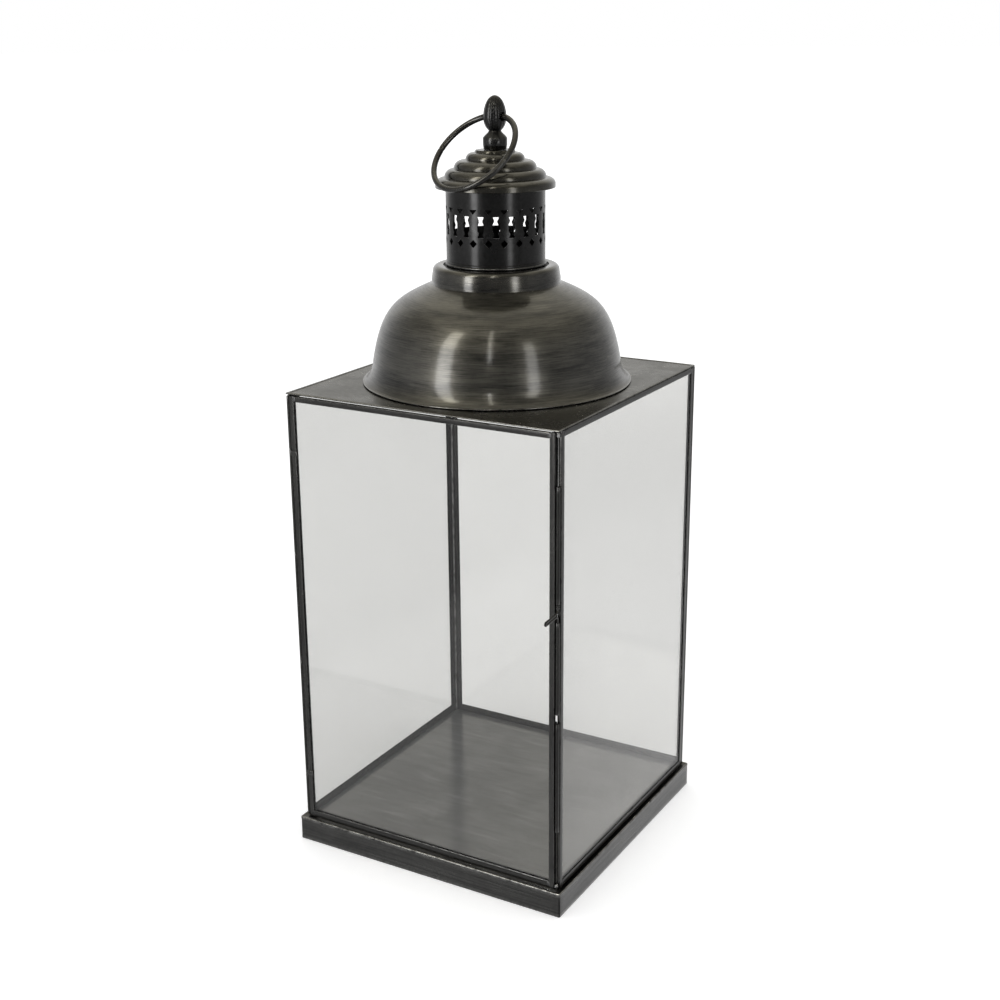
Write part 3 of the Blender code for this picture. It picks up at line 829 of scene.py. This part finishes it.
def cap(material):
    """A spun, ribbed lid: each tier is a quarter of an ellipse, from (inner, low) to (outer, high)."""
    tiers = [
        ((0.0470, 0.1790), (CAP_RADIUS, 0.1845)),
        ((0.0388, 0.1850), (0.0458, 0.1921)),
        ((0.0303, 0.1926), (0.0372, 0.1996)),
        ((0.0206, 0.2005), (0.0265, 0.2062)),
    ]
    outside = [(CAP_RADIUS - 0.0003, CAP_FOOT), (CAP_RADIUS, CAP_FOOT + 0.0003)]
    rubbed = []
    for (inner, low), (outer, high) in tiers:
        outside += arc((inner, low), (outer - inner, high - low), 0, 90, 12)
        rubbed.append((outer - 0.0018, high - 0.0012))
    outside += [(0.0183, 0.2066), (0.0178, CAP_TOP - 0.0004), (0.0174, CAP_TOP), (STUD_HOLE, CAP_TOP)]
    inside = inner_line(outside[2:], SHEET)
    inside[-1] = (CAP_RADIUS - SHEET, CAP_FOOT + SHEET)
    foot = [(CHIMNEY_RADIUS + GAP, CAP_FOOT + SHEET), (CHIMNEY_RADIUS + GAP, CAP_FOOT)]
    profile = outside + inside + foot
    wear = fainter(near(profile, rubbed, 0.0022), 0.55)
    stations = revolved(raised(profile), 192, wobble=0.0001)
    install(Skin().sweep(stations, wear, ring=True).done("chimney_cap_fine", material), "chimney_cap")


def acorn(steps):
    """The finial's knob, from its neck to its tip, as (radius, height) points."""
    start = math.degrees(math.asin((ACORN_NECK - ACORN_MIDDLE) / ACORN_BELOW))
    lower = arc((0, ACORN_MIDDLE), (ACORN_RADIUS, ACORN_BELOW), start, 0, steps)
    upper = arc((0, ACORN_MIDDLE), (ACORN_RADIUS, FINIAL_TOP - ACORN_MIDDLE), 0, 90, steps)
    return lower + upper[1:-1] + [(0, FINIAL_TOP)]


def punch(stations, first, last):
    """Presses rows of small hollows, set in quincunx, into the points from first to last."""
    for i, station in enumerate(stations):
        turn = HOLLOW_ROWS * i / len(stations)
        across = math.cos(math.pi * (turn % 1 - 0.5)) ** 2
        for k in range(first, last):
            climb = (k - first) / HOLLOW_PITCH + 0.5 * (int(turn) % 2)
            hollow = across * math.sin(math.pi * climb) ** 2
            rib = 0.35 * (1 - across)
            x, y, z = station[k]
            scale = 1 - HOLLOW_DEPTH * (hollow - rib) / max(math.hypot(x, y), 0.002)
            station[k] = (x * scale, y * scale, z)


def finial(material):
    """A turned collar under an acorn with rows of small punched hollows, drilled for the ring."""
    collar = [(STUD_HOLE, FINIAL_FOOT), (0.0100, FINIAL_FOOT), (0.0102, FINIAL_FOOT + 0.0003)]
    collar += [(COLLET_RADIUS - 0.0002, 0.2120), (COLLET_RADIUS, 0.2124), (COLLET_RADIUS, 0.2188)]
    collar += [(COLLET_RADIUS - 0.0004, 0.2195), (0.0090, 0.2212), (0.0064, 0.2236), (0.0060, 0.2242)]
    socket = [(0, FINIAL_FOOT + STUD_SOCKET), (STUD_HOLE, FINIAL_FOOT + STUD_SOCKET)]
    half = 36
    knob = acorn(half)
    wear = fainter(near(collar, [(COLLET_RADIUS, 0.2190), (0.0102, 0.2092)], 0.0008), 0.5)
    wear += [0.0] * (len(knob) + len(socket))
    stations = revolved(raised(collar + knob + socket), 192)
    punch(stations, len(collar) + 10, len(collar) + 2 * half - 10)
    piece = Skin().sweep(stations, wear, ring=True).done("finial_fine", material)
    line = [AXIS_OF["ring_swing"] + RING_LINE * reach for reach in (-0.02, 0.02)]
    subtract(piece, Skin().sweep(piped(line, RING_HOLE, 40)).done("ring_hole_cutter", material))
    install(piece, "finial")


def ring_geometry():
    """The ring's centre, two directions in its plane, its radius and its wire's radius."""
    points = np.array([vert.co for vert in frame["nodes"]["ring_handle"].data.vertices])
    centre = points.mean(axis=0)
    axes = np.linalg.eigh(np.cov((points - centre).T))[1]
    first, second = (Vector(axis) for axis in axes.T[1:])
    outer = np.linalg.norm(points - centre, axis=1).max()
    thick = np.abs((points - centre) @ axes[:, 0]).max()
    return Vector(centre), first, second, outer - thick, thick


def ring(material):
    """A closed ring of thick wire, slightly uneven, with one butt joint."""
    centre, first, second, radius, thick = ring_geometry()
    count = 200
    path = []
    for i in range(count):
        angle = math.tau * i / count
        path.append(centre + (first * math.cos(angle) + second * math.sin(angle)) * radius)
    stations = piped(path, thick, 24, ring=True)
    butt_joint = 31
    for i, station in enumerate(stations):
        uneven = 1.0 - 0.012 * (1 + noise.noise(Vector((i * 0.3, 0.7, 0))))
        pinch = 0.88 if i == butt_joint else uneven
        stations[i] = [path[i] + (point - path[i]) * pinch for point in station]
    install(Skin().sweep(stations, ring=True).done("ring_handle_fine", material, 60), "ring_handle")


def catch_line(low, high, middle, reach):
    """The catch's centre line as (out, height): upper tail, loop and lower tail."""
    upper = middle + CATCH_BEND
    lower = middle - CATCH_BEND
    loop_start = upper + 0.0036
    loop_end = lower - 0.0052
    line = [(0, high + (loop_start - high) * k / 6) for k in range(7)]
    line += bezier((0, upper + 0.0030), (0.0002, upper + 0.0010), (0.0036, upper), (0.0066, upper), 10)
    line += arc((reach - CATCH_BEND, middle), (CATCH_BEND, CATCH_BEND), 90, -90, 12)
    line += bezier((0.0052, lower), (0.0016, lower + 0.0004), (0.0001, lower - 0.0010), (0, loop_end), 10)
    line += [(0, loop_end + (low - loop_end) * k / 6) for k in range(1, 7)]
    return line


def catch_wire(material):
    """Wire bent into a long flat loop that points out from the latch corner, its tails in the tubes."""
    axis = AXIS_OF["catch_turn"]
    low = low_of("catch_wire")
    high = high_of("catch_wire")
    radius = high.x - axis.x
    reach = axis.y - low.y - radius
    droop = CATCH_DROOP / reach
    line = catch_line(low.z, high.z, axis.z, reach)
    path = [Vector((axis.x, axis.y - out, height - droop * out)) for out, height in line]
    install(Skin().sweep(piped(path, radius, 20)).done("catch_wire_fine", material, 60), "catch_wire")


def solder_lump(skin, centre, outward, size, seed):
    """A low lump of solder: size is (half across, half up, height)."""
    across = UP.cross(outward)
    rings = []
    for i in range(28):
        angle = math.tau * i / 28
        way = across * math.cos(angle) * size[0] + UP * math.sin(angle) * size[1]
        uneven = 1 + 0.28 * noise.noise(Vector((math.cos(angle) * 1.6, math.sin(angle) * 1.6, seed)))
        section = []
        for reach, height in arc((0, 0), (1, 1), 90, 0, 7):
            point = centre + way * reach * uneven
            rise = size[2] * height * (1 + 0.35 * noise.noise(point * 500 + Vector((seed, 0, 0))))
            section.append(point + outward * rise)
        section.append(centre + way * uneven * 0.9 - outward * 0.0004)
        section.append(centre - outward * 0.0004)
        rings.append(section)
    skin.sweep(rings, ring=True, closed=False)


def rail_solder(side, outward, material):
    """Small lumps where the rails of one side meet its stiles."""
    skin = Skin()
    sideways = UP.cross(outward)
    for number, (row, turn) in enumerate((r, t) for r in ("bottom", "top") for t in (-1, 1)):
        rail = f"{side}_{row}_rail"
        low = low_of(rail)
        high = high_of(rail)
        middle = (low + high) / 2
        half = abs((high - low).dot(sideways)) / 2
        face = middle + outward * abs((high - low).dot(outward)) / 2
        tall = (high.z - low.z) / 2
        place = face + sideways * turn * (half + GAP / 2)
        seed = 7.3 * number + 3.1 * len(side)
        size = (0.0016 + 0.0007 * (number % 2), tall * 0.8, 0.00022)
        solder_lump(skin, place, outward, size, seed)
    piece = skin.done(f"solder_{side}", material)
    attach(piece, "door" if side == "door" else "lantern")


def corner_solder(material):
    """Larger lumps at the ends of two corners, and the beads that run up the back left one."""
    skin = Skin()
    inset = HALF - CORNER_NOTCH / 2
    for number, (x, y) in enumerate(((inset, -inset), (-inset, inset))):
        facing = Vector((x, y, 0)).normalized()
        for k, z in enumerate((PLATE_UNDER - 0.0028, BASE_HEIGHT + 0.0030)):
            core = Vector((x, y, z)) - facing * 0.0008
            solder_lump(skin, core, facing, (0.0017, 0.0026, 0.0020), 11.7 + 5 * number + k)
    low = low_of("back_left_stile").z
    high = high_of("back_left_stile").z
    outer_bead = (-HALF + 0.0030, HALF - 0.0030, 0.0019)
    inner_bead = (high_of("left_rear_stile").x, low_of("back_left_stile").y, 0.0011)
    for x, y, radius in (outer_bead, inner_bead):
        path = [Vector((x, y, low + (high - low) * k / 60)) for k in range(61)]
        skin.sweep(ripple(piped(path, radius, 16), 0.0005, 0.009, Vector((-0.7, 0.7, 0)), 4.2))
    piece = skin.done("solder_corners", material)
    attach(piece, "lantern")


# -------------------- light and camera


def stage_floor():
    """A wide white floor that brightens to the background."""
    just_under = -0.0002
    section = [(radius, just_under) for radius in (0, 2, 8, 40)]
    skin = Skin().sweep(revolved(section, 64), ring=True, closed=False)
    material, graph = new_material("studio_floor")
    diffuse = graph.add("BsdfDiffuse", {"Color": (0.92, 0.92, 0.92, 1)})
    glow = graph.add("Emission", {"Color": (1, 1, 1, 1), "Strength": 0.32})
    graph.add("OutputMaterial", {0: graph.add("AddShader", {0: diffuse, 1: glow})})
    floor = skin.done("studio_floor", material)
    floor.visible_glossy = False


# The view: angles in degrees, distances in metres, the lens in millimetres
VIEW_AZIMUTH = 30.1377
VIEW_ELEVATION = 17.6825
VIEW_ROLL = -0.465492
VIEW_DISTANCE = 1.44717
VIEW_SIDE = 0.001826
VIEW_HEIGHT = 0.332717
VIEW_LENS = 54.398


def degrees(graph, radians):
    return graph.math("MULTIPLY", radians, 180 / math.pi)


def patch(graph, value, low, high, soft):
    """1 between low and high, 0 outside them, with soft edges."""
    rise = graph.between(value, low - soft, low + soft)
    return graph.math("MULTIPLY", rise, graph.between(value, high - soft, high + soft, 1.0, 0.0))


def room_lights(graph, turn, climb):
    """The room that reflections show, as (shape across, shape upward, strength).

    turn is degrees round to the right from where the viewer stands, and climb is degrees up.
    """
    apart = graph.math("ABSOLUTE", turn)
    slant = graph.math("SUBTRACT", climb, graph.math("MULTIPLY", turn, 0.47))
    left_window = (patch(graph, turn, -57, -43, 2), patch(graph, climb, -12, 50, 5), 8.6)
    right_window = (patch(graph, turn, 28, 38, 2), patch(graph, climb, -12, 34, 5), 5.0)
    narrow_window = (patch(graph, turn, -8, -6, 0.8), patch(graph, climb, 18, 62, 4), 15.0)
    left_wall = (patch(graph, turn, -94, -62, 8), patch(graph, climb, -20, 60, 5), 0.22)
    near_walls = (patch(graph, apart, 44, 190, 8), 1.0, 0.10)
    far_walls = (patch(graph, apart, 62, 190, 10), 1.0, 0.18)
    backdrop = (patch(graph, apart, 135, 190, 14), 1.0, 0.30)
    ceiling = (graph.between(climb, 34, 60), 1.0, 0.50)
    ground = (graph.between(turn, -42, -34), graph.between(climb, -12, -26), 0.35)
    left_ground = (graph.between(turn, -34, -42), graph.between(slant, 9, 7), 0.40)
    walls = (left_wall, near_walls, far_walls, backdrop)
    return left_window, right_window, narrow_window, *walls, ceiling, ground, left_ground


def studio_light():
    """An even white room, which reflections show dimmer, warm above, and with windows and pale walls."""
    world = bpy.data.worlds.new("studio")
    bpy.context.scene.world = world
    world.use_nodes = True
    graph = Graph(world.node_tree)
    inputs = {"Vector": graph.add("TexCoord", out=0), "Angle": math.radians(-VIEW_AZIMUTH)}
    turned = graph.add("VectorRotate", inputs, rotation_type="Z_AXIS")
    across, depth, upward = graph.add("SeparateXYZ", {0: turned}).node.outputs
    turn = degrees(graph, graph.math("ARCTAN2", across, graph.math("MULTIPLY", depth, -1.0)))
    climb = degrees(graph, graph.math("ARCSINE", upward))
    total = 0.20
    for wide, tall, strength in room_lights(graph, turn, climb):
        shape = graph.math("MULTIPLY", wide, tall)
        total = graph.math("ADD", total, graph.math("MULTIPLY", shape, strength))
    mirror = graph.add("LightPath").node.outputs["Is Glossy Ray"]
    strength = graph.choose(mirror, 1.0, total)
    warm = graph.math("MULTIPLY", mirror, graph.between(climb, 2, 50))
    colour = graph.mix(warm, (1, 1, 1, 1), (1, 0.95, 0.80, 1))
    background = graph.add("Background", {"Color": colour, "Strength": strength})
    graph.add("OutputWorld", {0: background})
    world.cycles.sampling_method = "NONE"


def camera():
    """The view from the front right, a little above the lantern's middle, with a slight roll."""
    azimuth = math.radians(VIEW_AZIMUTH)
    elevation = math.radians(VIEW_ELEVATION)
    roll = math.radians(VIEW_ROLL)
    flat = math.cos(elevation)
    back = Vector((math.sin(azimuth) * flat, -math.cos(azimuth) * flat, math.sin(elevation)))
    right = Vector((math.cos(azimuth), math.sin(azimuth), 0))
    up = back.cross(right)
    rolled_right = right * math.cos(roll) + up * math.sin(roll)
    rolled_up = up * math.cos(roll) - right * math.sin(roll)
    target = right * VIEW_SIDE + UP * VIEW_HEIGHT
    lens = bpy.data.cameras.new("view")
    lens.sensor_width = 36
    lens.lens = VIEW_LENS
    view = bpy.data.objects.new("view", lens)
    turn = Matrix((rolled_right, rolled_up, back)).transposed().to_4x4()
    view.matrix_world = Matrix.Translation(target + back * VIEW_DISTANCE) @ turn
    bpy.context.scene.collection.objects.link(view)
    bpy.context.scene.camera = view


def render_look():
    scene = bpy.context.scene
    scene.view_settings.view_transform = "Standard"
    scene.cycles.transparent_max_bounces = 24


# -------------------- assembly


def glazed_frames(upright, level, glass, painted_shade_side_glass):
    """The channels and the pane of each of the four sides."""
    for side, outward in OUTWARD.items():
        nodes = [node for node in BODY_OF if node.startswith(side + "_")]
        nodes = [node for node in nodes if node.endswith(("stile", "rail"))]
        for number, node in enumerate(nodes):
            material = upright if node.endswith("stile") else level
            channel(node, outward, material, 1.7 * number + len(side))
        pane(side + "_glass", outward, painted_shade_side_glass if side in ("left", "right") else glass)


def hinge_and_catch(upright, steel):
    """Straps, door stops, hinge tubes with their pin, and the catch's tubes, collars and wire."""
    strips = ("hinge_strap_upper", "hinge_strap_lower", "door_stop_upper", "door_stop_lower")
    for number, node in enumerate(strips):
        strip(node, OUTWARD["door"], upright, 2.3 * number)
    for number, node in enumerate(node for node in BODY_OF if "knuckle" in node):
        tube(node, AXIS_OF["door_hinge"], upright, 1.9 * number)
    for number, node in enumerate(node for node in BODY_OF if node.startswith("catch_tube")):
        tube(node, AXIS_OF["catch_turn"], upright, 2.9 * number)
    for number, node in enumerate(("catch_collar_upper", "catch_collar_lower")):
        tube(node, AXIS_OF["catch_turn"], steel, 3.7 * number)
    hinge_pin(steel)
    catch_wire(steel)


def build():
    rolled = {"rough": 0.30, "lacquer": 0.35}
    turned = {"rough": 0.24, "spun": True}
    upright = aged_metal("upright_pewter", 0.016, 0.040, worn=0.10, streaks=(260, 260, 12), **rolled)
    level = aged_metal("level_pewter", 0.014, 0.034, worn=0.12, streaks=(14, 14, 420), **rolled)
    skirt = aged_metal("skirt_pewter", 0.012, 0.044, 0.30, worn=0.24, lacquer=0.4, streaks=(9, 9, 380))
    plate = aged_metal("plate_pewter", 0.055, 0.095, 0.28, warmth=0.07, worn=0.18, lacquer=0.1)
    spun = aged_metal("brushed_pewter", 0.008, 0.078, warmth=0.09, worn=0.2, lacquer=0.7, **turned)
    crown = aged_metal("cap_pewter", 0.018, 0.050, warmth=0.12, worn=0.10, lacquer=0.45, **turned)
    dark = aged_metal("blackened_steel", 0.008, 0.020, 0.30, warmth=0.0, worn=0.1, lacquer=0.3)
    steel = aged_metal("dark_wire", 0.018, 0.040, 0.28, warmth=0.04, worn=0.12, lacquer=0.4)
    floor = scratched_sheet("worn_floor_sheet")
    glass = pane_glass("clear_glass", 0.886)
    # The left and right panes let a little less light through than the door and back panes: painted
    # shade, a darker copy of the same glass.
    painted_shade_side_glass = pane_glass("painted_shade_side_glass", 0.872)
    bright = solder_metal("solder", 0.03, 0.09)
    bead = solder_metal("corner_solder", 0.18, 0.42)
    glazed_frames(upright, level, glass, painted_shade_side_glass)
    hinge_and_catch(upright, steel)
    base_tray(skirt)
    floor_sheet(floor)
    top_plate(plate)
    dome(spun)
    chimney(dark)
    cap(crown)
    finial(dark)
    ring(steel)
    for side, outward in OUTWARD.items():
        rail_solder(side, outward, bright)
    corner_solder(bead)
    for node in ("finial_stud", "finial_washer", "finial_nut"):
        materials = frame["nodes"][node].data.materials
        materials.clear()
        materials.append(dark)


build()
stage_floor()
studio_light()
camera()
render_look()
